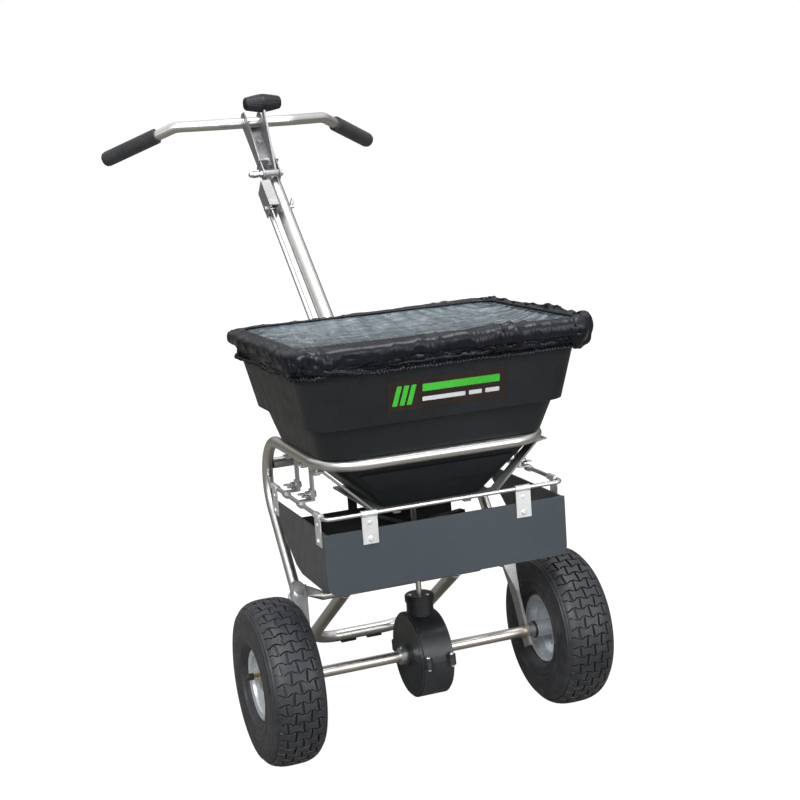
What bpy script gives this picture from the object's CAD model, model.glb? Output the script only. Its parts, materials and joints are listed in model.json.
# Push broadcast spreader: looks, studio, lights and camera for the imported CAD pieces.
# Shapes are written in the machine frame, in millimetres: X right, -Y front, +Z up, with the
# axle over the origin. place() tilts it about the axle into the row frame, in metres.
import bpy
import bmesh
import json
import math
import numpy as np
from mathutils import Matrix, Vector
from mathutils.geometry import delaunay_2d_cdt


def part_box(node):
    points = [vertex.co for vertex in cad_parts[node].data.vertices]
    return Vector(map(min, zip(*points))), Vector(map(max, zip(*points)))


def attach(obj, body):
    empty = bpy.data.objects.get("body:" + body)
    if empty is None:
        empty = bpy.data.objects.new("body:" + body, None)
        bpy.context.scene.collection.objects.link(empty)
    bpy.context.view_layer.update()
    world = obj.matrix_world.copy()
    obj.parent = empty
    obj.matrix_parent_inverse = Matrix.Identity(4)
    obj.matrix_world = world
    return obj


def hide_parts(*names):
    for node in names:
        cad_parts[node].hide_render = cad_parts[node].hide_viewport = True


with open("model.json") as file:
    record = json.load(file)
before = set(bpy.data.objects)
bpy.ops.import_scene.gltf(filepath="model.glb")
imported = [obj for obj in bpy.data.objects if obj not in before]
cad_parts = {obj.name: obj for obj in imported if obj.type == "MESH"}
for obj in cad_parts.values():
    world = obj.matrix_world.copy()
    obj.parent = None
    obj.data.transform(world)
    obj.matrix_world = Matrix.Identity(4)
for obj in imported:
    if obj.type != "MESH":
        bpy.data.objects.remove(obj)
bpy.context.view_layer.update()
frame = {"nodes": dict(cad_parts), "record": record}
NODES = frame["nodes"]
SCENE = bpy.context.scene

# ------------------------------------------------------------------ frames
MM = 0.001
TILT = math.radians(11.3)
COS_TILT, SIN_TILT = math.cos(TILT), math.sin(TILT)
AXLE_HEIGHT = 137.5
AXLE_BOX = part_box("axle")
AXLE_Y = (AXLE_BOX[0][1] + AXLE_BOX[1][1]) / 2 / MM     # in the row frame

HANDLE_SLOPE = math.radians(42.6)
HANDLE_FOOT_Y, HANDLE_FOOT_Z = 410, 700


def place(p):
    """Machine-frame millimetres to row-frame metres."""
    p = np.asarray(p, float)
    y = COS_TILT * p[..., 1] + SIN_TILT * (p[..., 2] - AXLE_HEIGHT) + AXLE_Y
    z = AXLE_HEIGHT - SIN_TILT * p[..., 1] + COS_TILT * (p[..., 2] - AXLE_HEIGHT)
    return np.stack([p[..., 0], y, z], -1) * MM


def from_handle(p):
    """Handle-frame millimetres (x, along, off) to the machine frame."""
    cos, sin = math.cos(HANDLE_SLOPE), math.sin(HANDLE_SLOPE)
    y = HANDLE_FOOT_Y + p[..., 1] * cos - p[..., 2] * sin
    z = HANDLE_FOOT_Z + p[..., 1] * sin + p[..., 2] * cos
    return np.stack([p[..., 0], y, z], -1)


# ------------------------------------------------------------------ shader nodes
class Nodes:
    """A node tree with short calls for the nodes used here."""

    def __init__(self, owner):
        owner.use_nodes = True
        self.tree = owner.node_tree
        self.tree.nodes.clear()

    def node(self, kind, **settings):
        n = self.tree.nodes.new(kind)
        for key, value in settings.items():
            setattr(n, key, value)
        return n

    def link(self, output, socket):
        self.tree.links.new(output, socket)

    def feed(self, socket, value):
        """Give a socket a number, a colour or another node's output."""
        if isinstance(value, (int, float)):
            socket.default_value = value
        elif isinstance(value, tuple):
            socket.default_value = (*value, 1)
        else:
            self.link(value, socket)

    def ramp(self, fac, stops, interpolation="LINEAR"):
        """stops are (position, grey or colour)."""
        n = self.node("ShaderNodeValToRGB")
        n.color_ramp.interpolation = interpolation
        elements = n.color_ramp.elements
        while len(elements) < len(stops):
            elements.new(0.5)
        for element, (position, colour) in zip(elements, stops):
            element.position = position
            element.color = (*colour, 1) if hasattr(colour, "__len__") else (*[colour] * 3, 1)
        self.link(fac, n.inputs[0])
        return n.outputs[0]

    def mix(self, fac, a, b, blend="MIX"):
        n = self.node("ShaderNodeMix", data_type="RGBA", blend_type=blend)
        for index, value in ((0, fac), (6, a), (7, b)):
            self.feed(n.inputs[index], value)
        return n.outputs[2]

    def math(self, operation, a, b):
        n = self.node("ShaderNodeMath", operation=operation)
        self.feed(n.inputs[0], a)
        self.feed(n.inputs[1], b)
        return n.outputs[0]

    def mix_shader(self, fac, a, b):
        n = self.node("ShaderNodeMixShader")
        for socket, output in zip(n.inputs, (fac, a, b)):
            self.link(output, socket)
        return n.outputs[0]


class Shader(Nodes):
    """A material round one Principled BSDF, patterned in object space."""

    def __init__(self, name):
        self.material = bpy.data.materials.new(name)
        super().__init__(self.material)
        self.out = self.node("ShaderNodeOutputMaterial")
        self.bsdf = self.node("ShaderNodeBsdfPrincipled")
        self.link(self.bsdf.outputs[0], self.out.inputs[0])
        self.coords = self.node("ShaderNodeTexCoord").outputs["Object"]
        self.normal = None

    def set(self, **values):
        for key, value in values.items():
            self.bsdf.inputs[key.replace("_", " ")].default_value = value

    def to(self, socket, output):
        self.link(output, self.bsdf.inputs[socket])

    def scaled(self, scale):
        n = self.node("ShaderNodeMapping")
        n.inputs["Scale"].default_value = scale if isinstance(scale, tuple) else (scale,) * 3
        self.link(self.coords, n.inputs["Vector"])
        return n.outputs[0]

    def noise(self, scale, detail=3, rough=0.5, distort=0):
        n = self.node("ShaderNodeTexNoise")
        n.inputs["Scale"].default_value = 1.0
        n.inputs["Detail"].default_value = detail
        n.inputs["Roughness"].default_value = rough
        n.inputs["Distortion"].default_value = distort
        self.link(self.scaled(scale), n.inputs["Vector"])
        return n.outputs["Fac"]

    def voronoi(self, scale):
        n = self.node("ShaderNodeTexVoronoi", feature="F1")
        n.inputs["Scale"].default_value = 1.0
        self.link(self.scaled(scale), n.inputs["Vector"])
        return n.outputs["Distance"]

    def remap(self, fac, to, span=(0.3, 0.7)):
        """Map the range span onto the range to."""
        n = self.node("ShaderNodeMapRange")
        n.inputs["From Min"].default_value = span[0]
        n.inputs["From Max"].default_value = span[1]
        n.inputs["To Min"].default_value = to[0]
        n.inputs["To Max"].default_value = to[1]
        self.link(fac, n.inputs[0])
        return n.outputs[0]

    def bump(self, height, strength, distance):
        """Add a bump on top of those already made."""
        n = self.node("ShaderNodeBump")
        n.inputs["Strength"].default_value = strength
        n.inputs["Distance"].default_value = distance
        self.link(height, n.inputs["Height"])
        if self.normal is not None:
            self.link(self.normal, n.inputs["Normal"])
        self.normal = n.outputs[0]
        self.to("Normal", self.normal)

    def worn_edges(self, colour, edge_colour, radius, amount):
        """Tint the colour near sharp edges, found where a bevelled normal leaves the true one."""
        bevel = self.node("ShaderNodeBevel")
        bevel.samples = 4
        bevel.inputs["Radius"].default_value = radius
        geometry = self.node("ShaderNodeNewGeometry")
        dot = self.node("ShaderNodeVectorMath", operation="DOT_PRODUCT")
        self.link(bevel.outputs[0], dot.inputs[0])
        self.link(geometry.outputs["Normal"], dot.inputs[1])
        mask = self.remap(dot.outputs["Value"], to=(1.0, 0.0), span=(0.90, 0.995))
        return self.mix(self.math("MULTIPLY", mask, amount), colour, edge_colour)


# ------------------------------------------------------------------ materials
def stainless(name, tint=(0.68, 0.675, 0.665), rough=(0.315, 0.345),
              stain=(0.46, 0.42, 0.37), stain_amount=0.12):
    m = Shader(name)
    clouds = m.noise(scale=9, detail=4, rough=0.6)
    grain = m.noise(scale=900, detail=2, rough=0.6)
    colour = m.mix(m.remap(clouds, to=(0.0, stain_amount), span=(0.45, 0.75)), tint, stain)
    colour = m.mix(m.remap(grain, to=(0.0, 0.10)), colour, (0.35, 0.34, 0.33))
    m.to("Base Color", colour)
    m.set(Metallic=1.0)
    m.to("Roughness", m.remap(m.noise(scale=26, detail=5, rough=0.6), to=rough))
    m.bump(grain, strength=0.02, distance=0.0002)
    return m.material


def zinc(name, tint=(0.55, 0.56, 0.57), dark=(0.33, 0.34, 0.35), rough=(0.30, 0.48),
         metallic=0.92, spangle=320):
    m = Shader(name)
    cells = m.voronoi(scale=spangle)
    clouds = m.noise(scale=70, detail=5, rough=0.65)
    colour = m.mix(m.remap(clouds, to=(0.0, 0.55)), tint, dark)
    colour = m.mix(m.remap(cells, to=(0.16, 0.0), span=(0.0, 0.8)), colour, (0.75, 0.77, 0.78))
    m.to("Base Color", colour)
    m.set(Metallic=metallic)
    m.to("Roughness", m.remap(m.noise(scale=120, detail=4), to=rough))
    m.bump(clouds, strength=0.08, distance=0.0005)
    return m.material


def plastic(name, base, second, rough=(0.38, 0.5), grain=1500, grain_bump=0.10,
            specular=0.45, flow=12, edge=None):
    """Two shades in clouds of scale flow, faint dust, fine grain; edge tints the corners."""
    m = Shader(name)
    clouds = m.noise(scale=flow, detail=3, rough=0.55)
    colour = m.mix(m.remap(clouds, to=(0.0, 1.0)), base, second)
    dust = m.noise(scale=160, detail=6, rough=0.7)
    dust_colour = tuple(min(1, c * 2.2 + 0.02) for c in second)
    colour = m.mix(m.remap(dust, to=(0.0, 0.10), span=(0.5, 0.8)), colour, dust_colour)
    if edge is not None:
        colour = m.worn_edges(colour, edge, radius=0.0014, amount=0.55)
    m.to("Base Color", colour)
    m.to("Roughness", m.remap(m.noise(scale=45, detail=4), to=rough))
    m.set(Specular_IOR_Level=specular, Coat_Weight=0.0, Coat_Roughness=0.25)
    m.bump(m.noise(scale=grain, detail=2, rough=0.6), strength=grain_bump, distance=0.0003)
    m.bump(m.noise(scale=9, detail=2), strength=0.12, distance=0.002)
    return m.material


def tyre_rubber(name):
    m = Shader(name)
    clouds = m.noise(scale=55, detail=6, rough=0.65)
    colour = m.ramp(clouds, [(0.30, (0.015, 0.016, 0.020)), (0.52, (0.024, 0.026, 0.032)),
                             (0.75, (0.042, 0.044, 0.050))])
    dust = m.noise(scale=14, detail=5, rough=0.7)
    colour = m.mix(m.remap(dust, to=(0.0, 0.22), span=(0.45, 0.75)), colour,
                   (0.075, 0.070, 0.062))
    colour = m.worn_edges(colour, (0.16, 0.16, 0.165), radius=0.0012, amount=0.30)
    m.to("Base Color", colour)
    m.to("Roughness", m.remap(m.noise(scale=130, detail=4), to=(0.40, 0.56)))
    m.set(Specular_IOR_Level=0.45)
    m.bump(m.noise(scale=700, detail=3, rough=0.7), strength=0.22, distance=0.0004)
    m.bump(m.noise(scale=60, detail=3), strength=0.10, distance=0.001)
    return m.material


def rim_paint(name):
    m = Shader(name)
    clouds = m.noise(scale=40, detail=5, rough=0.6)
    colour = m.mix(m.remap(clouds, to=(0.0, 1.0)), (0.52, 0.56, 0.60), (0.62, 0.66, 0.69))
    scuffs = m.noise(scale=300, detail=4, rough=0.7)
    colour = m.mix(m.remap(scuffs, to=(0.0, 0.25), span=(0.58, 0.8)), colour, (0.22, 0.22, 0.23))
    m.to("Base Color", colour)
    m.set(Metallic=0.55, Specular_IOR_Level=0.5, Coat_Weight=0.25, Coat_Roughness=0.18)
    m.to("Roughness", m.remap(m.noise(scale=90, detail=4), to=(0.26, 0.42)))
    m.bump(m.noise(scale=800, detail=2), strength=0.06, distance=0.0003)
    m.bump(m.noise(scale=25, detail=2), strength=0.15, distance=0.001)
    return m.material


def aged_brass(name):
    m = Shader(name)
    clouds = m.noise(scale=110, detail=5, rough=0.6)
    m.to("Base Color", m.ramp(clouds, [(0.3, (0.62, 0.42, 0.16)), (0.55, (0.48, 0.31, 0.11)),
                                       (0.8, (0.24, 0.16, 0.08))]))
    m.set(Metallic=1.0)
    m.to("Roughness", m.remap(m.noise(scale=200, detail=4), to=(0.22, 0.42)))
    m.bump(clouds, strength=0.06, distance=0.0004)
    return m.material


def foam(name):
    m = Shader(name)
    cells = m.voronoi(scale=1300)
    clouds = m.noise(scale=30, detail=4)
    m.to("Base Color", m.mix(m.remap(clouds, to=(0, 1)),
                             (0.010, 0.011, 0.013), (0.022, 0.023, 0.026)))
    m.to("Roughness", m.remap(m.noise(scale=200, detail=3), to=(0.62, 0.78)))
    m.set(Specular_IOR_Level=0.35, Sheen_Weight=0.12, Sheen_Roughness=0.5)
    m.bump(cells, strength=0.45, distance=0.0006)
    return m.material


def woven_nylon(name):
    """Plain weave from two crossed fine waves, with faint dirt."""
    m = Shader(name)
    waves = []
    for direction in "XY":
        n = m.node("ShaderNodeTexWave", wave_type="BANDS", bands_direction=direction)
        n.inputs["Scale"].default_value = 420.0
        n.inputs["Distortion"].default_value = 0.6
        m.link(m.coords, n.inputs["Vector"])
        waves.append(n.outputs["Fac"])
    weave = m.math("MULTIPLY", *waves)
    clouds = m.noise(scale=22, detail=4, rough=0.6)
    colour = m.mix(m.remap(clouds, to=(0, 1)), (0.0045, 0.005, 0.008), (0.009, 0.010, 0.015))
    colour = m.mix(m.remap(weave, to=(0.0, 0.25), span=(0.2, 0.9)), colour,
                   (0.022, 0.025, 0.036))
    m.to("Base Color", colour)
    m.to("Roughness", m.remap(m.noise(scale=80, detail=3), to=(0.26, 0.33)))
    m.set(Specular_IOR_Level=0.27, Sheen_Weight=0.0, Sheen_Roughness=0.4,
          Sheen_Tint=(0.55, 0.6, 0.75, 1))
    m.bump(weave, strength=0.16, distance=0.0002)
    m.bump(m.noise(scale=190, detail=3, rough=0.6), strength=0.22, distance=0.0008)
    return m.material


def clear_vinyl(name):
    """Streaked film, partly see-through."""
    m = Shader(name)
    streaks = m.noise(scale=(16, 110, 60), detail=5, rough=0.62, distort=0.8)
    cross = m.noise(scale=(70, 30, 40), detail=4, rough=0.6, distort=1.2)
    both = m.math("ADD", m.math("MULTIPLY", streaks, 0.6), m.math("MULTIPLY", cross, 0.4))
    m.to("Base Color", m.ramp(both, [(0.30, (0.10, 0.17, 0.18)), (0.46, (0.20, 0.245, 0.275)),
                                     (0.60, (0.32, 0.335, 0.39)), (0.8, (0.58, 0.64, 0.68))]))
    m.set(Specular_IOR_Level=0.6, Coat_Weight=0.6, Coat_Roughness=0.10)
    m.to("Roughness", m.remap(cross, to=(0.12, 0.28)))
    m.bump(both, strength=0.30, distance=0.003)
    clear = m.node("ShaderNodeBsdfTransparent")
    clear.inputs[0].default_value = (0.82, 0.90, 0.88, 1)
    opacity = m.remap(both, to=(0.30, 0.62), span=(0.35, 0.65))
    m.link(m.mix_shader(opacity, clear.outputs[0], m.bsdf.outputs[0]), m.out.inputs[0])
    return m.material


MATERIALS = {
    "stainless": stainless("stainless_tube"),
    "axle_steel": stainless("axle_steel", tint=(0.74, 0.71, 0.67), rough=(0.30, 0.35),
                            stain=(0.44, 0.36, 0.29), stain_amount=0.28),
    "zinc": zinc("zinc_hardware"),
    "strap_zinc": zinc("strap_zinc", tint=(0.78, 0.80, 0.80), dark=(0.60, 0.61, 0.62),
                       rough=(0.34, 0.5), metallic=0.75, spangle=260),
    "bracket_steel": zinc("bracket_steel", tint=(0.26, 0.26, 0.268), dark=(0.17, 0.17, 0.175),
                          rough=(0.42, 0.58), metallic=0.60, spangle=420),
    "gear_steel": zinc("gear_steel", tint=(0.45, 0.43, 0.40), dark=(0.22, 0.20, 0.17),
                       rough=(0.3, 0.5), metallic=1.0, spangle=500),
    "brass": aged_brass("brass"),
    "rim_silver": rim_paint("rim_silver"),
    "tyre": tyre_rubber("tyre_rubber"),
    "gearbox_black": plastic(
        "gearbox_black", (0.013, 0.015, 0.018), (0.024, 0.027, 0.032), rough=(0.30, 0.42),
        grain=1200, specular=0.5, flow=14, edge=(0.09, 0.095, 0.10)),
    "hopper_plastic": plastic(
        "hopper_plastic", (0.0105, 0.0125, 0.015), (0.0165, 0.0195, 0.023), rough=(0.34, 0.46),
        grain=1100, grain_bump=0.08, specular=0.26, flow=5, edge=(0.045, 0.05, 0.055)),
    "label": plastic("label_film", (0.014, 0.009, 0.008), (0.022, 0.013, 0.011),
                     rough=(0.2, 0.3), grain=2500, grain_bump=0.03, specular=0.5, flow=20),
    "impeller_plastic": plastic("impeller_plastic", (0.008, 0.009, 0.010), (0.013, 0.014, 0.015),
                                rough=(0.5, 0.62), grain=1200, specular=0.2),
    "bushing_nylon": plastic("bushing_nylon", (0.55, 0.54, 0.49), (0.66, 0.65, 0.60),
                             rough=(0.4, 0.5)),
    "panel_front": plastic(
        "panel_front_sheet", (0.044, 0.055, 0.066), (0.054, 0.066, 0.078), rough=(0.36, 0.46),
        grain=1900, grain_bump=0.06, specular=0.28, flow=4, edge=(0.11, 0.12, 0.135)),
    "panel_side": plastic(
        "panel_side_sheet", (0.048, 0.052, 0.056), (0.058, 0.062, 0.066), rough=(0.36, 0.46),
        grain=1900, grain_bump=0.06, specular=0.28, flow=4, edge=(0.12, 0.125, 0.13)),
    "grip_foam": foam("grip_foam"),
    "knob_black": plastic(
        "knob_black", (0.008, 0.008, 0.010), (0.014, 0.015, 0.018), rough=(0.34, 0.46),
        grain=900, grain_bump=0.12, specular=0.24, flow=30, edge=(0.035, 0.037, 0.043)),
    "pad_rubber": plastic("pad_rubber", (0.014, 0.014, 0.014), (0.024, 0.024, 0.024),
                          rough=(0.55, 0.7), grain=700, grain_bump=0.3),
    "cover_nylon": woven_nylon("cover_nylon"),
    "cover_vinyl": clear_vinyl("cover_vinyl"),
    "label_green": plastic("label_green", (0.045, 0.42, 0.03), (0.06, 0.50, 0.045),
                           rough=(0.25, 0.35), grain=2500, grain_bump=0.03),
    "label_grey": plastic("label_grey", (0.55, 0.56, 0.57), (0.66, 0.67, 0.68),
                          rough=(0.25, 0.35), grain=2500, grain_bump=0.03),
    "cap_black": plastic("cap_black", (0.012, 0.012, 0.013), (0.02, 0.02, 0.022),
                         rough=(0.4, 0.5), grain=900, grain_bump=0.15),
    "thread": plastic("sewing_thread", (0.010, 0.010, 0.012), (0.03, 0.03, 0.035),
                      rough=(0.5, 0.6), grain=900),
}


# ------------------------------------------------------------------ mesh tools
def link_mesh(name, verts, faces):
    """A new object from vertices in metres."""
    mesh = bpy.data.meshes.new(name)
    mesh.from_pydata([tuple(v) for v in verts], [], faces)
    obj = bpy.data.objects.new(name, mesh)
    SCENE.collection.objects.link(obj)
    return obj


def shade(mesh, smooth, sharp):
    mesh.polygons.foreach_set("use_smooth", [smooth] * len(mesh.polygons))
    if smooth and sharp:
        mesh.set_sharp_from_angle(angle=math.radians(sharp))
    mesh.update()


def build(name, solid, slot, body, material=None, smooth=True, sharp=0):
    """An object from (machine-frame verts, faces); sharp is the edge angle in degrees, 0 for none."""
    verts, faces = solid
    obj = link_mesh(name, place(verts), [tuple(int(i) for i in f) for f in faces])
    mesh = obj.data
    mesh.validate(clean_customdata=False)
    # sharp edges are marked both before and after the faces are turned to agree,
    # and the marks add up
    shade(mesh, smooth, sharp)
    mesh.materials.append(MATERIALS[material or slot])
    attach(obj, body)
    bm = bmesh.new()
    bm.from_mesh(mesh)
    bmesh.ops.recalc_face_normals(bm, faces=bm.faces)
    bm.to_mesh(mesh)
    bm.free()
    shade(mesh, smooth, sharp)
    return obj


def grid_faces(nu, nv, base=0, wrap_u=False, wrap_v=False, flip=False):
    """Faces of a grid whose vertex index is base + v * nu + u."""
    faces = []
    for v in range(nv if wrap_v else nv - 1):
        for u in range(nu if wrap_u else nu - 1):
            next_u, next_v = (u + 1) % nu, (v + 1) % nv
            a = base + v * nu + u
            b = base + v * nu + next_u
            c = base + next_v * nu + next_u
            d = base + next_v * nu + u
            faces.append((a, d, c, b) if flip else (a, b, c, d))
    return faces


def merge(solids):
    verts, faces, base = [], [], 0
    for part_verts, part_faces in solids:
        verts.append(part_verts)
        faces += [tuple(i + base for i in f) for f in part_faces]
        base += len(part_verts)
    return np.vstack(verts), faces


def spin(profile, count, flute=None):
    """Points of an (x, radius) profile turned about X; flute(angle, x) scales the radius."""
    verts = []
    for i in range(count):
        t = 2 * math.pi * i / count
        for x, r in profile:
            if flute:
                r = r * (1 + flute(t, x))
            verts.append((x, r * math.sin(t), r * math.cos(t)))
    return np.array(verts)


def turned_solid(profile, count, flute=None):
    """A spun profile closed by a flat face at each end."""
    size = len(profile)
    faces = grid_faces(size, count, wrap_v=True, flip=True)
    faces.append(tuple(i * size for i in range(count)))
    faces.append(tuple(i * size + size - 1 for i in range(count - 1, -1, -1)))
    return spin(profile, count, flute), faces


def rotate_x(verts, degrees):
    a = math.radians(degrees)
    cos, sin = math.cos(a), math.sin(a)
    return verts @ np.array([[1, 0, 0], [0, cos, -sin], [0, sin, cos]]).T


# ------------------------------------------------------------------ CAD pieces kept as they are
REPLACED = {"left_tyre", "right_tyre", "cover_skirt", "cover_window", "lever_knob"}
# round tubes keep the solids' own normals
TUBES = {"main_hoop", "handlebar", "stand_tube", "deflector_rail", "handle_tube",
         "rear_cross_tube", "control_rod", "axle"}
DEFAULT_BEVEL = (0.3, 2)
BEVELS = {  # width in mm, segments
    "hopper": (1.3, 3), "gearbox_upper": (1.0, 3), "gearbox_lower": (1.0, 3),
    "front_panel": (0.8, 2), "left_panel": (0.8, 2), "right_panel": (0.8, 2),
    "grips": (1.6, 3), "stand_pads": (1.2, 2), "axle_brackets": (0.5, 2),
    "gauge_bracket": (0.6, 2), "rod_guide": (0.6, 2), "lower_cross_bar": (0.5, 2),
    "throat_plate": (0.4, 2), "impeller": (0.5, 2), "set_collars": (0.6, 2),
    "wheel_spacers": (0.4, 2), "label_plate": (0.15, 1), "left_rim": (0.4, 2),
    "right_rim": (0.4, 2),
}


def soften(obj, width, segments):
    """Rejoin the planar faces, break the edges and shade smooth."""
    mesh = obj.data
    for name in ("custom_normal", "sharp_edge"):
        if name in mesh.attributes:
            mesh.attributes.remove(mesh.attributes[name])
    mesh.polygons.foreach_set("use_smooth", [True] * len(mesh.polygons))
    weld = obj.modifiers.new("weld", "WELD")
    weld.merge_threshold = 2e-6
    planar = obj.modifiers.new("planar", "DECIMATE")
    planar.decimate_type = "DISSOLVE"
    planar.angle_limit = math.radians(0.6)
    bevel = obj.modifiers.new("edges", "BEVEL")
    bevel.width = width * MM
    bevel.segments = segments
    bevel.limit_method = "ANGLE"
    bevel.angle_limit = math.radians(32)
    bevel.harden_normals = True
    bevel.miter_outer = "MITER_ARC"
    bevel.use_clamp_overlap = True


def dress_cad_pieces():
    looks = {s["node"]: s["material_slot"] for s in frame["record"]["subparts"]}
    looks["wheel_spacers"] = "zinc"
    for name, obj in NODES.items():
        if name in REPLACED:
            continue
        if name not in TUBES:
            soften(obj, *BEVELS.get(name, DEFAULT_BEVEL))
        obj.data.materials.clear()
        obj.data.materials.append(MATERIALS[looks[name]])


# ------------------------------------------------------------------ tyres
WHEEL_X = 258.3
WHEELS = (  # name, side of X, body, turn of the tyre and of the valve cap in degrees
    ("left", -1, "drive_axle", 7.0, -83),
    ("right", 1, "free_wheel", 23.0, 160),
)
TYRE_RADIUS = AXLE_HEIGHT
# the section is a superellipse
TYRE_HALF_HEIGHT, TYRE_HALF_WIDTH, TYRE_POWER = 41.85, 47.0, 0.66
TYRE_MID_RADIUS = TYRE_RADIUS - TYRE_HALF_HEIGHT

TREAD_ROWS = 52
TREAD_EDGE = 41.0          # half width of the tread, along the arc
TREAD_DEPTH = 5.0
ROW_PITCH = 2 * math.pi * TYRE_RADIUS / TREAD_ROWS
BLOCK = 26.0               # width of a middle block
ROW_GAP, BLOCK_GAP = 1.3, 1.75     # half gaps between rows and between blocks
BLOCK_SLANT = 0.10
BLOCK_TOP_INSET, BLOCK_FOOT_FLARE, BLOCK_BEVEL = 0.55, 0.30, 0.5


def tyre_outline():
    """Arc length from the crown, offset from the centre plane, and radius, for one half."""
    a = np.radians(np.concatenate([np.linspace(90, 80, 40), np.linspace(79.8, 20, 120),
                                   np.linspace(19.5, -50.4, 120)]))
    sin, cos = np.sin(a), np.cos(a)
    radius = TYRE_MID_RADIUS + TYRE_HALF_HEIGHT * np.sign(sin) * np.abs(sin) ** TYRE_POWER
    offset = TYRE_HALF_WIDTH * np.abs(cos) ** TYRE_POWER
    offset[0] = 0.0
    arc = np.concatenate([[0], np.cumsum(np.hypot(np.diff(offset), np.diff(radius)))])
    return arc, offset, radius


ARC, ARC_OFFSET, ARC_RADIUS = tyre_outline()
OFFSET_SLOPE, RADIUS_SLOPE = np.gradient(ARC_OFFSET, ARC), np.gradient(ARC_RADIUS, ARC)


def sunk_outline(arc, depth):
    """Offset and radius at an arc length, sunk below the outline by depth."""
    d_offset, d_radius = np.interp(arc, ARC, OFFSET_SLOPE), np.interp(arc, ARC, RADIUS_SLOPE)
    length = np.hypot(d_offset, d_radius)
    return (np.interp(arc, ARC, ARC_OFFSET) + d_radius / length * depth,
            np.interp(arc, ARC, ARC_RADIUS) - d_offset / length * depth)


def tyre_point(across, around, depth):
    """Points of the tyre about its own centre, axis X, from arc lengths across and around."""
    offset, radius = sunk_outline(np.abs(across), depth)
    t = around / TYRE_RADIUS
    return np.stack([np.sign(across + 1e-9) * offset, radius * np.sin(t), radius * np.cos(t)], -1)


def row_pinch(across, odd):
    """Change of a row's half width: narrower at the middle of each block."""
    wave = np.cos(2 * np.pi * (across - (0 if odd else BLOCK / 2)) / BLOCK)
    return -1.9 * np.clip(1.6 * wave, -1, 1)


def tread_blocks():
    verts, faces = [], []
    base = 0
    cuts = {1: (-TREAD_EDGE, -BLOCK / 2, BLOCK / 2, TREAD_EDGE),
            0: (-TREAD_EDGE, -BLOCK, 0, BLOCK, TREAD_EDGE)}
    for row in range(TREAD_ROWS):
        odd = row % 2
        row_at = row * ROW_PITCH
        for start, end in zip(cuts[odd], cuts[odd][1:]):
            nu, nv = (10 if end - start > 20 else 6), 3
            across = np.linspace(start + (0.0 if start == -TREAD_EDGE else BLOCK_GAP),
                                 end - (0.0 if end == TREAD_EDGE else BLOCK_GAP), nu + 1)
            low = -ROW_PITCH / 2 + ROW_GAP - row_pinch(across, odd)
            high = ROW_PITCH / 2 - ROW_GAP + row_pinch(across, odd)
            # the tread's outer edges stay straight
            free = (across > 0.1 - TREAD_EDGE) & (across < TREAD_EDGE - 0.1)
            grid = np.zeros((nv + 1, nu + 1, 2))
            for j in range(nv + 1):
                around = low + (high - low) * (j / nv)
                slant = (BLOCK_SLANT if odd else -BLOCK_SLANT) * around
                grid[j, :, 0] = across + slant * free
                grid[j, :, 1] = around
            rim = ([(0, i) for i in range(nu)] + [(j, nu) for j in range(nv)]
                   + [(nv, i) for i in range(nu, 0, -1)] + [(j, 0) for j in range(nv, 0, -1)])
            centre = grid.reshape(-1, 2).mean(0)
            full = np.array([grid[j, i] for j, i in rim])
            half = np.abs(full - centre).max(0)
            top = (centre + (grid - centre) * (1 - BLOCK_TOP_INSET / half)).reshape(-1, 2)
            foot = centre + (full - centre) * (1 + BLOCK_FOOT_FLARE / half)
            for points, depth in ((top, 0.0), (full, BLOCK_BEVEL), (foot, TREAD_DEPTH + 0.4)):
                verts.append(tyre_point(points[:, 0], points[:, 1] + row_at, depth))
            faces += grid_faces(nu + 1, nv + 1, base, flip=True)
            count = len(rim)
            shoulder = base + len(top)
            rings = [[base + j * (nu + 1) + i for j, i in rim],
                     list(range(shoulder, shoulder + count)),
                     list(range(shoulder + count, shoulder + 2 * count))]
            for k in range(count):
                k2 = (k + 1) % count
                for upper, lower in zip(rings, rings[1:]):
                    faces.append((lower[k], lower[k2], upper[k2], upper[k]))
            faces.append(tuple(rings[-1]))
            base = shoulder + 2 * count
    return np.vstack(verts), faces


# arc length, share of the tread depth: the groove floor and its rise to the shoulder
GROOVE_FLOOR = [(0, 1), (8, 1), (16, 1), (24, 1), (30, 1), (34, 1), (37.5, 1), (39.5, 0.8),
                (41.0, 0.5), (42.2, 0.2), (43.5, 0.05), (45.0, 0.0)]
# arc length, height of the rings round the sidewall
RIDGES = [(49.5, 0.9), (56.0, 0.45), (84.0, 0.7), (ARC[-1] - 13, 1.3), (ARC[-1] - 9.5, 0.8)]
RIDGE_HALF_WIDTH = 0.75
FINE_STEP, COARSE_STEP = 0.5, 2.2      # sidewall steps, near a ridge and elsewhere
# x, radius: the bead and the inner wall, from the right side to the left
TYRE_INSIDE = [(35.2, 60.35), (30.5, 60.45), (29.2, 66.3), (38.0, 95.0), (0.0, 126.0),
               (-38.0, 95.0), (-29.2, 66.3), (-30.5, 60.45), (-35.2, 60.35)]


def carcass():
    stations = [(arc, TREAD_DEPTH * share) for arc, share in GROOVE_FLOOR]
    arc = 46.4
    while arc < ARC[-1] - 0.4:
        rise = sum(h * math.exp(-((arc - at) / RIDGE_HALF_WIDTH) ** 2) for at, h in RIDGES)
        stations.append((arc, -rise))
        nearest = min(abs(arc - at) for at, _ in RIDGES)
        arc += FINE_STEP if nearest < COARSE_STEP else COARSE_STEP
    stations.append((ARC[-1], 0.0))
    offset, radius = sunk_outline(*np.array(stations).T)
    profile = list(zip(-offset[::-1], radius[::-1]))[:-1] + list(zip(offset, radius))
    profile += TYRE_INSIDE
    count = 224
    faces = grid_faces(len(profile), count, wrap_u=True, wrap_v=True, flip=True)
    return spin(profile, count), faces


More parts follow.
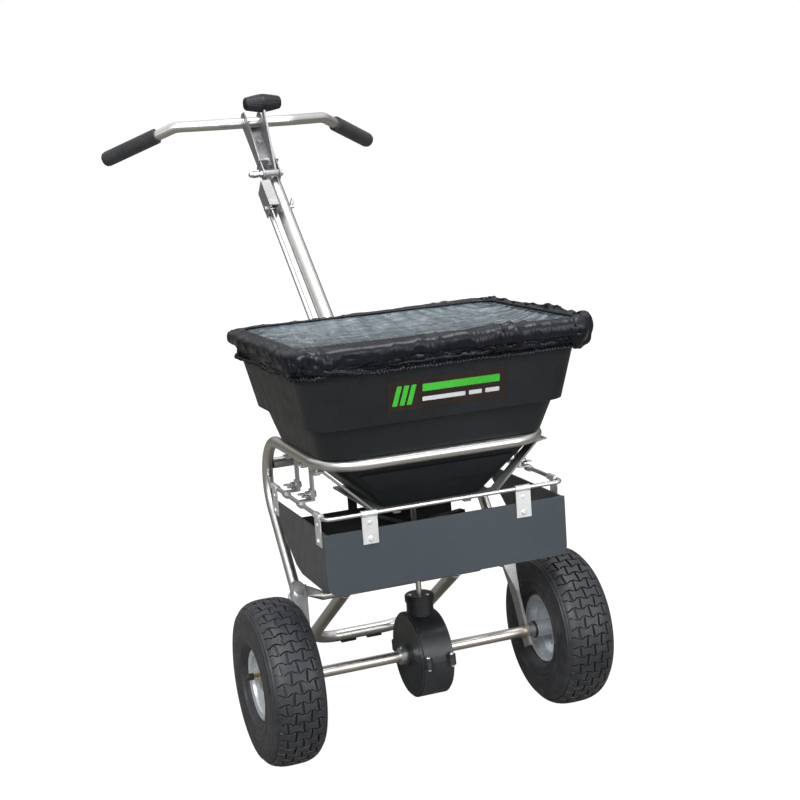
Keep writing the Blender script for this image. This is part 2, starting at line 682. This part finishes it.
def build_tyres():
    verts, faces = merge([carcass(), tread_blocks()])
    for side, sign, body, turn, _ in WHEELS:
        turned = rotate_x(verts, turn) + np.array([sign * WHEEL_X, 0, AXLE_HEIGHT])
        tyre = build(f"{side}_tyre_tread", (turned, faces), "tyre", body, sharp=38)
        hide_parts(f"{side}_tyre")


# ------------------------------------------------------------------ valve caps and hub seals
VALVE_RADIUS = 33.0        # from the wheel's axis to the cap's
# x from the wheel's centre plane, radius
VALVE_CAP = [(33.2, 4.6), (33.2, 5.6), (34.4, 5.95), (43.2, 5.85), (44.9, 5.45), (45.4, 4.6),
             (45.5, 0.4)]
# x from the machine's centre plane, radius
HUB_SEAL = [(208.9, 13.0), (208.9, 13.9), (209.5, 14.5), (212.4, 14.5), (213.0, 13.9),
            (213.0, 13.0)]


def cap_flutes(t, x):
    """Sixteen shallow flutes round the straight part of the cap."""
    return -0.035 * (0.5 + 0.5 * math.cos(16 * t)) if 34.3 < x < 43.3 else 0.0


def build_valve_caps():
    verts, faces = turned_solid(VALVE_CAP, 64, cap_flutes)
    verts = verts + np.array([0, 0, VALVE_RADIUS])
    for side, sign, body, _, turn in WHEELS:
        turned = rotate_x(verts * np.array([sign, 1, 1]), turn)
        turned = turned + np.array([sign * WHEEL_X, 0, AXLE_HEIGHT])
        build(f"{side}_valve_cap", (turned, faces), "knob_black", body, "cap_black", sharp=50)


def build_hub_seals():
    """Rings on the hubs' inboard ends."""
    verts, faces = turned_solid(HUB_SEAL, 72)
    for side, sign, body, _, _ in WHEELS:
        moved = verts * np.array([sign, 1, 1]) + np.array([0, 0, AXLE_HEIGHT])
        build(f"{side}_hub_seal", (moved, faces), "knob_black", body, "cap_black", sharp=50)


# ------------------------------------------------------------------ lever knob
KNOB_CENTRE = (0, 471.0, 93.7)         # handle frame
KNOB_HALF = 38.0
KNOB_RADIUS, KNOB_TAPER = 18.6, 6.3    # at the middle, and how much the ends lose
KNOB_GRIP = 35                         # half length of the barrel
KNOB_END = [(KNOB_HALF, 0.3), (KNOB_HALF, 8.6), (37.6, 10.2), (36.4, 11.6)]    # x, radius
RIB_END, RIB_WAIST = 35.5, 2.5         # ribs run between these distances from the middle


def knob_ribs(t, x):
    """Thirty grooves along each half, fading over 3 mm at both ends."""
    if abs(x) > RIB_END or abs(x) < RIB_WAIST:
        return 0.0
    fade = min(1.0, (RIB_END - abs(x)) / 3.0, (abs(x) - RIB_WAIST) / 3.0)
    return -0.030 * fade * max(0.0, math.cos(30 * t)) ** 0.6


def build_knob():
    profile = [(-x, r) for x, r in KNOB_END]
    profile += [(x, KNOB_RADIUS - KNOB_TAPER * (abs(x) / KNOB_HALF) ** 1.3)
                for x in np.linspace(-KNOB_GRIP, KNOB_GRIP, 57)]
    profile += KNOB_END[::-1]
    verts, faces = turned_solid(profile, 360, knob_ribs)
    verts = from_handle(verts + np.array(KNOB_CENTRE))
    knob = build("ribbed_knob", (verts, faces), "knob_black", "lever", sharp=40)
    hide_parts("lever_knob")


# ------------------------------------------------------------------ label: plain bars
WALL_RUN, WALL_RISE = 24, 113          # slope of the wall the label is on
WALL_Y, WALL_Z = -172, 576             # a point on that wall
LABEL_X, LABEL_Z = 2.0, 618
LABEL_ORIGIN = np.array([
    LABEL_X, WALL_Y - WALL_RUN * (LABEL_Z - WALL_Z) / WALL_RISE - 0.12, LABEL_Z])
WALL_ANGLE = math.atan2(WALL_RUN, WALL_RISE)
LABEL_UP = np.array([0, -math.sin(WALL_ANGLE), math.cos(WALL_ANGLE)])
LABEL_OUT = np.array([0, -math.cos(WALL_ANGLE), -math.sin(WALL_ANGLE)])
BAR_BACK, BAR_FACE = 0.75, 0.98        # distances out from the label's origin
LABEL_BARS = {  # each bar: u from, u to, v from, v to, slant
    "green": [(-88, -80, -16, 16, 0.25), (-76, -68, -16, 16, 0.25), (-64, -56, -16, 16, 0.25),
              (-42, 88, 3, 15, 0.0)],
    "grey": [(-42, 30, -13, -6, 0.0), (36, 58, -13, -6, 0.0), (64, 88, -13, -6, 0.0)],
}


def bar_outline(u0, u1, v0, v1, slant, r=1.2):
    """A sheared rectangle with rounded corners, counter-clockwise from outside."""
    points = []
    for cu, cv, first in ((u1 - r, v0 + r, -90), (u1 - r, v1 - r, 0),
                          (u0 + r, v1 - r, 90), (u0 + r, v0 + r, 180)):
        for k in range(4):
            a = math.radians(first + 30 * k)
            v = cv + r * math.sin(a)
            points.append((cu + r * math.cos(a) + slant * v, v))
    return points


def bar_slab(outline):
    n = len(outline)
    verts = [LABEL_ORIGIN + np.array([u, 0, 0]) + LABEL_UP * v + LABEL_OUT * out
             for out in (BAR_BACK, BAR_FACE) for u, v in outline]
    faces = [tuple(range(n, 2 * n)), tuple(range(n - 1, -1, -1))]
    faces += [(k, (k + 1) % n, n + (k + 1) % n, n + k) for k in range(n)]
    return np.array(verts), faces


def build_label():
    for colour, bars in LABEL_BARS.items():
        slabs = merge([bar_slab(bar_outline(*bar)) for bar in bars])
        build(f"label_{colour}_bars", slabs, "label", "chassis", f"label_{colour}", smooth=False)


# ------------------------------------------------------------------ cloth tools
# columns of the sheet along the front or back, round a corner, and along a side
LONG_COLUMNS, CORNER_COLUMNS, SIDE_COLUMNS = 148, 26, 112
COLUMNS = 2 * LONG_COLUMNS + 4 * CORNER_COLUMNS + 2 * SIDE_COLUMNS


def loop(x0, x1, y0, y1, r, z, skew=0.0):
    """Rounded rectangle, counter-clockwise from above, starting along the front.

    skew brings the front edge forward on the right and back on the left.
    """
    sides = (  # straight from, straight to, columns, corner centre, corner's first angle
        ((x0 + r, y0), (x1 - r, y0), LONG_COLUMNS, (x1 - r, y0 + r), -90),
        ((x1, y0 + r), (x1, y1 - r), SIDE_COLUMNS, (x1 - r, y1 - r), 0),
        ((x1 - r, y1), (x0 + r, y1), LONG_COLUMNS, (x0 + r, y1 - r), 90),
        ((x0, y1 - r), (x0, y0 + r), SIDE_COLUMNS, (x0 + r, y0 + r), 180),
    )
    points = []
    for (ax, ay), (bx, by), count, (cx, cy), first in sides:
        for k in range(count):
            f = (k + 0.5) / count
            points.append((ax + (bx - ax) * f, ay + (by - ay) * f))
        for k in range(CORNER_COLUMNS):
            a = math.radians(first + 90.0 * (k + 0.5) / CORNER_COLUMNS)
            points.append((cx + r * math.cos(a), cy + r * math.sin(a)))
    p = np.array(points)
    mid_x, half_x, mid_y, half_y = (x0 + x1) / 2, (x1 - x0) / 2, (y0 + y1) / 2, (y1 - y0) / 2
    front = np.clip((mid_y - p[:, 1]) / half_y, 0, 1)
    p[:, 1] -= skew * front * (p[:, 0] - mid_x) / half_x
    return np.column_stack([p, np.full(len(p), float(z))])


def ring_stack(levels, step):
    """Rings about step apart down through the levels."""
    loops = [loop(*level) for level in levels]
    gaps = [np.linalg.norm(b - a, axis=1).mean() for a, b in zip(loops, loops[1:])]
    reach = np.concatenate([[0], np.cumsum(gaps)])
    count = max(8, int(round(reach[-1] / step)))
    rings = []
    for t in np.linspace(0, reach[-1], count + 1):
        i = min(len(gaps) - 1, int(np.searchsorted(reach, t, side="right") - 1))
        f = (t - reach[i]) / gaps[i]
        rings.append(loops[i] * (1 - f) + loops[i + 1] * f)
    return np.array(rings)


def ring_normals(rings):
    """Outward unit normals of a stack of rings."""
    along = np.roll(rings, -1, 1) - np.roll(rings, 1, 1)
    normals = np.cross(along, np.gradient(rings, axis=0))
    normals /= np.maximum(np.linalg.norm(normals, axis=-1, keepdims=True), 1e-9)
    outward = rings.copy()
    outward[..., 0] -= rings[..., 0].mean()
    outward[..., 1] -= rings[..., 1].mean()
    outward[..., 2] -= 640.0
    return normals * np.sign((normals * outward).sum(-1).mean())


def periodic_noise(count, seed, wavelength):
    """Noise round a closed line, with wavelengths near the given number of samples."""
    draw = np.random.RandomState(seed).uniform
    k = np.arange(count)
    total = np.zeros(count)
    for _ in range(9):
        waves = max(1, int(round(count / (wavelength * draw(0.6, 1.7)))))
        total += draw(0.5, 1) * np.sin(2 * np.pi * waves * k / count + draw(0, 6.28))
    return total / 3.0


def drape(name, verts, faces, pinned, frames, gravity, bend, rest=None, collider=None,
          mass=0.12, stiff=12, shear=4, shrink=0.0, pressure=0.0):
    """Settle a sheet as cloth; points go in and come back in machine millimetres."""
    sheet = link_mesh(name, verts * MM, faces)
    group = sheet.vertex_groups.new(name="pin")
    group.add([int(i) for i in np.where(pinned)[0]], 1.0, "REPLACE")
    if rest is not None:
        sheet.shape_key_add(name="Basis")
        key = sheet.shape_key_add(name="rest")
        key.data.foreach_set("co", (rest * MM).ravel())
        key.value = 0.0
    cloth = sheet.modifiers.new("cloth", "CLOTH")
    s = cloth.settings
    s.quality = 8
    s.mass = mass
    s.tension_stiffness = s.compression_stiffness = stiff
    s.shear_stiffness = shear
    s.bending_stiffness = bend
    s.tension_damping = s.compression_damping = s.shear_damping = 6
    s.bending_damping = 0.6
    s.air_damping = 2.0
    s.time_scale = 0.6
    s.vertex_group_mass = "pin"
    s.pin_stiffness = 20.0
    s.effector_weights.gravity = gravity
    if rest is not None:
        s.rest_shape_key = sheet.data.shape_keys.key_blocks["rest"]
    s.shrink_min = shrink
    if pressure:
        s.use_pressure = True
        s.uniform_pressure_force = pressure
    c = cloth.collision_settings
    c.use_collision = collider is not None
    c.distance_min = 0.0012
    c.collision_quality = 3
    c.use_self_collision = False
    c.self_distance_min = 0.0012
    helpers = [sheet]
    if collider is not None:
        hull = link_mesh("hull", collider[0] * MM, collider[1])
        hull.modifiers.new("col", "COLLISION")
        hull.collision.thickness_outer = 0.001
        hull.collision.thickness_inner = 0.006
        hull.collision.cloth_friction = 8
        helpers.append(hull)
    cloth.point_cache.frame_start = 1
    cloth.point_cache.frame_end = frames
    first_frame = SCENE.frame_current
    for f in range(1, frames + 1):
        SCENE.frame_set(f)
    settled = sheet.evaluated_get(bpy.context.evaluated_depsgraph_get())
    points = np.empty(len(verts) * 3)
    settled.data.vertices.foreach_get("co", points)
    points = points.reshape(-1, 3) / MM
    for obj in helpers:
        mesh = obj.data
        bpy.data.objects.remove(obj, do_unlink=True)
        bpy.data.meshes.remove(mesh)
    SCENE.frame_set(first_frame)
    return points


# ------------------------------------------------------------------ rain cover: nylon skirt
SKIRT_STEP = 4.2
# x0, x1, y0, y1, corner radius, z, skew: from the window's edge down to the hem
SKIRT_LEVELS = [
    (-222, 243, -154, 180, 30, 702.6, 16),
    (-240, 247, -184, 188, 42, 704.0, 8),
    (-250, 251, -205, 195, 50, 703.4, 0),
    (-256.5, 257, -212.5, 201, 55, 699.0, 0),
    (-259, 259.5, -215, 203, 57, 690.0, 0),
    (-257, 257.5, -213, 201, 56, 678.0, 0),
    (-243, 243.5, -199.5, 188, 49, 664.0, 0),
]
# half width, front, back, corner radius, z: the hopper's walls and rim lip
RIM_LEVELS = [
    (229, 187, 175, 42, 640), (240, 196, 184, 44, 689), (248, 204, 192, 50, 690.5),
    (248, 204, 192, 50, 698), (239, 195, 183, 42, 698), (229, 184, 172, 40, 640),
]


def rim_hull():
    """A ring-shaped solid for the sheet to rest on."""
    rings = [loop(-half, half, -front, back, r, z)[::4] for half, front, back, r, z in RIM_LEVELS]
    return np.vstack(rings), grid_faces(len(rings[0]), len(rings), wrap_u=True, wrap_v=True)


def draped_skirt():
    rings = ring_stack(SKIRT_LEVELS, SKIRT_STEP)
    count = len(rings)
    normals = ring_normals(rings)
    columns = np.arange(COLUMNS)
    down = np.linspace(0, 1, count)[:, None]
    belly = np.sin(np.pi * down)
    # an uneven start, so the folds don't come out regular
    rough = periodic_noise(COLUMNS, seed=3, wavelength=16)[None, :] * belly * 1.6
    rough = rough + np.array([
        np.roll(periodic_noise(COLUMNS, seed=5, wavelength=11), int(10 * j / count * 4))
        for j in range(count)]) * belly * 0.9
    start = rings + normals * (0.6 + np.maximum(rough, -0.4)[..., None])
    # rest shape zigzags: its threads are longer than the path, so the sheet has to fold
    zigzag_around = np.where(columns % 2 == 0, 1.0, -1.0)[None, :]
    zigzag_down = np.where(np.arange(count) % 2 == 0, 1.0, -1.0)[:, None]
    slack_around = 0.75 + 1.20 * np.clip((down - 0.35) / 0.65, 0, 1) ** 1.2
    slack_down = 0.75 + 0.85 * belly
    # more slack by the front right corner
    right = np.exp(-(((columns[None, :] - LONG_COLUMNS * 0.93) / 26.0) ** 2))
    slack_down = slack_down * (1 + 0.55 * right)
    slack_around = slack_around * (1 + 0.30 * right)
    zigzag = slack_around * zigzag_around + slack_down * zigzag_down
    rest = rings + normals * zigzag[..., None]
    pinned = np.zeros((count, COLUMNS), bool)
    pinned[[0, -1]] = True
    skirt = drape("skirt_sheet", start.reshape(-1, 3), grid_faces(COLUMNS, count, wrap_u=True),
                  pinned.ravel(), rest=rest.reshape(-1, 3), collider=rim_hull(),
                  frames=46, gravity=0.6, pressure=0.9, bend=0.05)
    skirt = skirt.reshape(count, COLUMNS, 3)
    # a light smoothing between the pinned rings
    beside = (np.roll(skirt, 1, 1) + np.roll(skirt, -1, 1)) / 2
    above_below = (skirt[2:] + skirt[:-2]) / 2
    skirt[1:-1] = skirt[1:-1] * 0.75 + (beside[1:-1] + above_below) / 2 * 0.25
    return skirt


def cubic(p0, p1, p2, p3, t):
    """Catmull-Rom spline from p1 to p2."""
    return 0.5 * (2 * p1 + (p2 - p0) * t + (2 * p0 - 5 * p1 + 4 * p2 - p3) * t * t
                  + (3 * p1 - p0 - 3 * p2 + p3) * t ** 3)


def refine(rings, times_around, times_down):
    """Resample a ring grid finer with smooth splines."""
    n, m, _ = rings.shape
    wide = np.empty((n, m * times_around, 3))
    for k in range(times_around):
        wide[:, k::times_around] = cubic(np.roll(rings, 1, 1), rings, np.roll(rings, -1, 1),
                                         np.roll(rings, -2, 1), k / times_around)
    rows = []
    for j in range(n - 1):
        four = wide[max(j - 1, 0)], wide[j], wide[j + 1], wide[min(j + 2, n - 1)]
        rows += [cubic(*four, k / times_down) for k in range(times_down)]
    rows.append(wide[-1])
    return np.array(rows)


def unit(vectors):
    return vectors / np.maximum(np.linalg.norm(vectors, axis=-1, keepdims=True), 1e-9)


def folded_skirt(skirt):
    """The finished sheet: gathers, slanting folds, a beaded hem and a turned inner edge."""
    fine = refine(skirt, times_around=3, times_down=2)
    normals = ring_normals(fine)
    rows, count, _ = fine.shape
    down = np.linspace(0, 1, rows)[:, None]
    column = np.arange(count)[None, :]
    around = column / count

    def ripple(waves, shift=0.0):
        return np.sin(2 * np.pi * waves * around + shift)

    # gathers at the elastic hem, and lesser puckers along the window's seam
    gather_phase = 2 * np.pi * (column / 6.4) + 2.2 * ripple(9, 1) + 1.4 * ripple(31)
    gathers = np.sin(gather_phase) * (0.65 + 0.35 * ripple(41, 0.7))
    gathers = gathers * np.clip((down - 0.74) / 0.26, 0, 1) ** 1.4 * 1.6
    puckers = np.sin(2 * np.pi * column / 8.7 + 1.9 * ripple(13))
    puckers = puckers * np.exp(-((down / 0.07) ** 2)) * 0.35
    # slanting folds drawn in by the elastic
    folds = (  # height, crest power, phase in folds, strength from place to place
        (4.4, 0.62,
         38 * around + 2.0 * (down - 0.5) * ripple(3, 0.6) + 0.34 * ripple(9, 1.3)
         + 0.22 * ripple(17, 0.4),
         0.55 + 0.45 * ripple(11, 0.8 + 2.4 * down)),
        (6.2, 0.60,
         21 * around - 1.9 * (down - 0.4) + 0.45 * ripple(7, 2.1) + 0.25 * ripple(13),
         0.55 + 0.45 * ripple(6, 2.9 - 1.8 * down)),
        (0.9, 0.85,
         71 * around + 2.6 * down * ripple(5, 2.0) + 0.4 * ripple(19, 0.9),
         0.5 + 0.5 * ripple(14, 4.1 + 3.0 * down)),
    )
    relief = sum(height * (1 - np.abs(np.sin(np.pi * phase)) ** power) * strength
                 for height, power, phase, strength in folds)
    # the folds fade towards both edges and the back; the sheet is fuller to the right
    fade = np.clip(down / 0.22, 0, 1) ** 0.8 * (0.35 + 0.65 * np.clip((1 - down) / 0.35, 0, 1))
    fade = fade * (0.45 + 0.55 * np.clip((90 - fine[..., 1]) / 60, 0, 1))
    fuller = np.clip((fine[..., 0] + 60) / 280, 0, 1)
    puff = (2.6 + 5.4 * fuller) * np.sin(np.pi * down) ** 0.8
    lift = gathers + puckers + puff + fade * relief * (0.75 + 0.5 * fuller)
    fine = fine + normals * lift[..., None]

    # elastic hem: a puckered bead that turns the edge under
    hem = fine[-1]
    downward = unit(hem - fine[-3])
    bead_radius = (2.1 + 0.55 * np.sin(gather_phase[0] * 0.97 + 0.4)
                   + 0.3 * np.sin(2 * np.pi * column[0] / 5.1))[:, None]
    bead = [hem + (downward * math.sin(a) - normals[-1] * (1 - math.cos(a))) * bead_radius
            for a in np.radians(np.linspace(0, 250, 9)[1:])]
    # folded inner edge by the window: distance inwards and drop, lowest ring first
    inner = fine[0]
    inward = unit(inner - fine[1])
    lip = [inner + inward * reach - np.array([0, 0, drop])
           for reach, drop in ((-5.0, 1.7), (-0.2, 1.5), (0.5, 0.9))]
    return np.concatenate([lip, fine, bead])


def build_skirt(sheet):
    rows, count, _ = sheet.shape
    solid = sheet.reshape(-1, 3), grid_faces(count, rows, wrap_u=True)
    cover = build("rain_cover_nylon", solid, "cover_nylon", "cover")
    thickness = cover.modifiers.new("cloth_thickness", "SOLIDIFY")
    thickness.thickness = 0.45 * MM
    thickness.offset = 0
    thickness.use_rim = True
    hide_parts("cover_skirt")


STITCH_ROW = 5             # ring of the sheet the seam follows
STITCH_PITCH, STITCH_LENGTH, STITCH_RADIUS = 3.4, 2.4, 0.24
STITCH_LIFT = 0.3
STITCH_STATIONS = ((0.0, -0.05, 0.6), (0.5, 0.32, 1.0), (1.0, -0.05, 0.6))  # along, rise, girth


def build_stitches(sheet):
    """A row of separate six-sided stitches beside the window's seam."""
    line = sheet[STITCH_ROW]
    line = np.vstack([line, line[:1]])
    normals = ring_normals(sheet)[STITCH_ROW]
    normals = np.vstack([normals, normals[:1]])
    reach = np.concatenate([[0], np.cumsum(np.linalg.norm(np.diff(line, axis=0), axis=1))])

    def at(s, values):
        return np.array([np.interp(s, reach, values[:, axis]) for axis in range(3)])

    count = int(reach[-1] / STITCH_PITCH)
    verts, faces = [], []
    for i in range(count):
        start = i * reach[-1] / count
        points = [at(start + STITCH_LENGTH * f, line) for f, _, _ in STITCH_STATIONS]
        normal = at(start, normals)
        normal /= np.linalg.norm(normal)
        along = points[2] - points[0]
        along /= np.linalg.norm(along)
        sideways = np.cross(along, normal)
        base = len(verts)
        for point, (_, rise, girth) in zip(points, STITCH_STATIONS):
            r = STITCH_RADIUS * girth
            for a in range(6):
                t = a * math.pi / 3
                verts.append(point + normal * (rise + STITCH_LIFT + r * math.sin(t))
                             + sideways * (r * math.cos(t)))
        faces += grid_faces(6, 3, base, wrap_u=True)
        faces.append(tuple(range(base + 5, base - 1, -1)))
        faces.append(tuple(range(base + 12, base + 18)))
    build("seam_stitching", (np.array(verts), faces), "cover_nylon", "cover", "thread")


# ------------------------------------------------------------------ rain cover: clear window
WINDOW_Z = 700.6
# the pane reaches under the skirt's inner edge
EDGE_X0, EDGE_X1, EDGE_Y0, EDGE_Y1, EDGE_R, _, EDGE_SKEW = SKIRT_LEVELS[0]
WINDOW_LOOP = (EDGE_X0 - 7, EDGE_X1 + 6, EDGE_Y0 - 7, EDGE_Y1 + 5, EDGE_R + 2, WINDOW_Z,
               EDGE_SKEW)


def is_inside(p, polygon, margin):
    """Whether p is in the polygon and at least margin from its edge."""
    a, b = polygon, np.roll(polygon, -1, 0)
    e = b - a
    t = np.clip(((p - a) * e).sum(1) / (e * e).sum(1), 0, 1)
    if np.linalg.norm(a + e * t[:, None] - p, axis=1).min() < margin:
        return False
    crossings = ((a[:, 1] > p[1]) != (b[:, 1] > p[1])) & (
        p[0] < (b[:, 0] - a[:, 0]) * (p[1] - a[:, 1]) / (b[:, 1] - a[:, 1] + 1e-12) + a[:, 0])
    return bool(crossings.sum() % 2)


def build_window():
    outline = loop(*WINDOW_LOOP)[::3, :2]
    cell = 8.0
    draw = np.random.RandomState(11).uniform
    xs = np.arange(outline[:, 0].min() + cell, outline[:, 0].max(), cell)
    ys = np.arange(outline[:, 1].min() + cell, outline[:, 1].max(), cell * 0.87)
    # jittered points in staggered rows, triangulated with the outline
    points = list(outline)
    for j, y in enumerate(ys):
        for x in xs + (cell / 2 if j % 2 else 0):
            p = np.array([x, y]) + draw(-1.2, 1.2, 2)
            if is_inside(p, outline, cell * 0.45):
                points.append(p)
    n = len(outline)
    net = delaunay_2d_cdt([Vector((float(x), float(y))) for x, y in points],
                          [(i, (i + 1) % n) for i in range(n)], [], 1, 1e-4)
    verts = np.array([[v[0], v[1], WINDOW_Z] for v in net[0]])
    faces = [tuple(f) for f in net[2]]
    to_edge = np.array([np.linalg.norm(outline - v[:2], axis=1).min() for v in verts])
    pinned = to_edge < 5.0
    verts[:, 2] += draw(-0.4, 0.4, len(verts)) * ~pinned
    pane = drape("window_sheet", verts, faces, pinned, frames=40,
                 gravity=0.25, shrink=-0.009, stiff=30, shear=20, bend=0.25, mass=0.3)
    window = build("rain_cover_window", (pane, faces), "cover_vinyl", "cover")
    smooth = window.modifiers.new("smooth", "SUBSURF")
    smooth.levels = smooth.render_levels = 1
    film = window.modifiers.new("film", "SOLIDIFY")
    film.thickness = 0.5 * MM
    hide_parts("cover_window")


# ------------------------------------------------------------------ studio, in metres
FLOOR_RADIUS, FLOOR_SEGMENTS = 9, 96
FLOOR_Y, FLOOR_Z = 0.4, -0.0005


def floor_material():
    m = Shader("studio_floor")
    clouds = m.noise(scale=3, detail=3)
    colour = m.mix(m.remap(clouds, to=(0, 1)), (0.86, 0.86, 0.86), (0.90, 0.90, 0.90))
    rays = m.node("ShaderNodeLightPath").outputs
    # polished metal sees a darker, warmer ground; seen directly it is nearly shadowless
    colour = m.mix(rays["Is Glossy Ray"], colour, (0.20, 0.19, 0.165))
    colour = m.mix(rays["Is Diffuse Ray"], colour, (0.46, 0.46, 0.46))
    m.to("Base Color", colour)
    m.set(Roughness=0.9, Specular_IOR_Level=0.1)
    glow = m.node("ShaderNodeEmission")
    glow.inputs["Color"].default_value = (1, 1, 1, 1)
    glow.inputs["Strength"].default_value = 1.12
    glow_share = m.math("MULTIPLY", rays["Is Camera Ray"], 0.88)
    m.link(m.mix_shader(glow_share, m.bsdf.outputs[0], glow.outputs[0]), m.out.inputs[0])
    return m.material


def build_floor():
    centre_y = FLOOR_Y + AXLE_Y * MM
    verts = [(0.0, centre_y, FLOOR_Z)]
    for i in range(FLOOR_SEGMENTS):
        a = 2 * math.pi * i / FLOOR_SEGMENTS
        verts.append((FLOOR_RADIUS * math.cos(a), centre_y + FLOOR_RADIUS * math.sin(a), FLOOR_Z))
    faces = [(0, 1 + i, 1 + (i + 1) % FLOOR_SEGMENTS) for i in range(FLOOR_SEGMENTS)]
    obj = link_mesh("studio_floor", verts, faces)
    obj.data.materials.append(floor_material())


def build_world():
    """White to the camera, dim to diffuse rays, a banded studio to reflections."""
    world = bpy.data.worlds.new("studio")
    SCENE.world = world
    w = Nodes(world)
    out = w.node("ShaderNodeOutputWorld")
    rays = w.node("ShaderNodeLightPath").outputs
    direction = w.node("ShaderNodeSeparateXYZ")
    w.link(w.node("ShaderNodeTexCoord").outputs["Generated"], direction.inputs[0])

    def ramp_along(axis, stops):
        """A ramp over one axis of the direction, -1..1 mapped to 0..1."""
        share = w.math("MULTIPLY", w.math("ADD", direction.outputs[axis], 1.0), 0.5)
        return w.ramp(share, stops, "EASE")

    def background(colour, strength):
        n = w.node("ShaderNodeBackground")
        w.feed(n.inputs["Color"], colour)
        w.feed(n.inputs["Strength"], strength)
        return n.outputs[0]

    # from below to above, on the camera's side and beyond the machine
    near = ramp_along("Z", [(0.0, 0.30), (0.49, 0.42), (0.53, 0.95), (0.72, 1.15), (0.86, 1.0),
                            (0.93, 0.62), (1.0, 0.9)])
    far = ramp_along("Z", [
        (0.0, (0.10, 0.095, 0.088)), (0.50, (0.15, 0.14, 0.128)), (0.56, (0.23, 0.215, 0.20)),
        (0.66, (0.62, 0.63, 0.64)), (0.80, (0.92, 0.93, 0.94)), (1.0, (0.8, 0.8, 0.8))])
    room = w.mix(ramp_along("Y", [(0.44, 0.0), (0.60, 1.0)]), near, far)
    # darker flags to the left and right
    flags = ramp_along("X", [(0.0, 0.55), (0.10, 0.55), (0.20, 1.0), (0.60, 1.0), (0.70, 0.60),
                             (0.80, 0.85), (1.0, 0.50)])
    room = w.mix(1.0, room, flags, blend="MULTIPLY")
    seen = w.mix_shader(rays["Is Glossy Ray"], background((0.97, 0.99, 1.0), strength=0.36),
                        background(room, strength=1.25))
    seen = w.mix_shader(rays["Is Camera Ray"], seen, background((1.0, 1.0, 1.0), strength=1.0))
    w.link(seen, out.inputs[0])


LIGHTS = (  # name, place, target, size, watts; y is from the axle
    ("key_softbox", (-2.0, -1.9, 2.6), (0, 0.1, 0.45), (1.3, 1.1), 84),
    ("top_softbox", (0.2, 0.2, 3.0), (0, 0.2, 0.4), (1.8, 1.8), 80),
    ("fill_softbox", (1.6, -2.6, 1.5), (0, 0.1, 0.4), (1.2, 1.6), 26),
)


def build_lights():
    for name, at, target, size, watts in LIGHTS:
        light = bpy.data.lights.new(name, "AREA")
        light.shape = "RECTANGLE"
        light.size, light.size_y = size
        light.energy = watts
        light.specular_factor = 0.6
        obj = bpy.data.objects.new(name, light)
        SCENE.collection.objects.link(obj)
        at, target = (Vector((x, y + AXLE_Y * MM, z)) for x, y, z in (at, target))
        obj.location = at
        obj.rotation_euler = (target - at).to_track_quat("-Z", "Y").to_euler()


# ------------------------------------------------------------------ camera
CAMERA_PLACE = (-869.9, -2290.1, 1019.2)       # machine frame, as are the angles
AZIMUTH, ELEVATION, ROLL = (math.radians(a) for a in (-20.597, 10.247, -4.107))
LENS, SENSOR_WIDTH = 67.59, 36


def tilted(v):
    """A machine-frame direction in the row frame."""
    return Vector((v[0], COS_TILT * v[1] + SIN_TILT * v[2], -SIN_TILT * v[1] + COS_TILT * v[2]))


def build_camera():
    back = Vector((math.sin(AZIMUTH) * math.cos(ELEVATION),
                   -math.cos(AZIMUTH) * math.cos(ELEVATION), math.sin(ELEVATION)))
    forward = -back
    level = forward.cross(Vector((0, 0, 1))).normalized()
    upright = level.cross(forward)
    right = math.cos(ROLL) * level + math.sin(ROLL) * upright
    up = -math.sin(ROLL) * level + math.cos(ROLL) * upright
    columns = tilted(right), tilted(up), tilted(back), place(CAMERA_PLACE)
    data = bpy.data.cameras.new("view")
    data.lens = LENS
    data.sensor_width = SENSOR_WIDTH
    camera = bpy.data.objects.new("view", data)
    camera.matrix_world = Matrix([[c[i] for c in columns] for i in range(3)] + [(0, 0, 0, 1)])
    SCENE.collection.objects.link(camera)
    SCENE.camera = camera
    SCENE.view_settings.view_transform = "Standard"


# ------------------------------------------------------------------ build
dress_cad_pieces()
build_tyres()
build_valve_caps()
build_hub_seals()
build_knob()
build_label()
nylon_sheet = folded_skirt(draped_skirt())
build_skirt(nylon_sheet)
build_stitches(nylon_sheet)
build_window()
build_floor()
build_world()
build_lights()
build_camera()
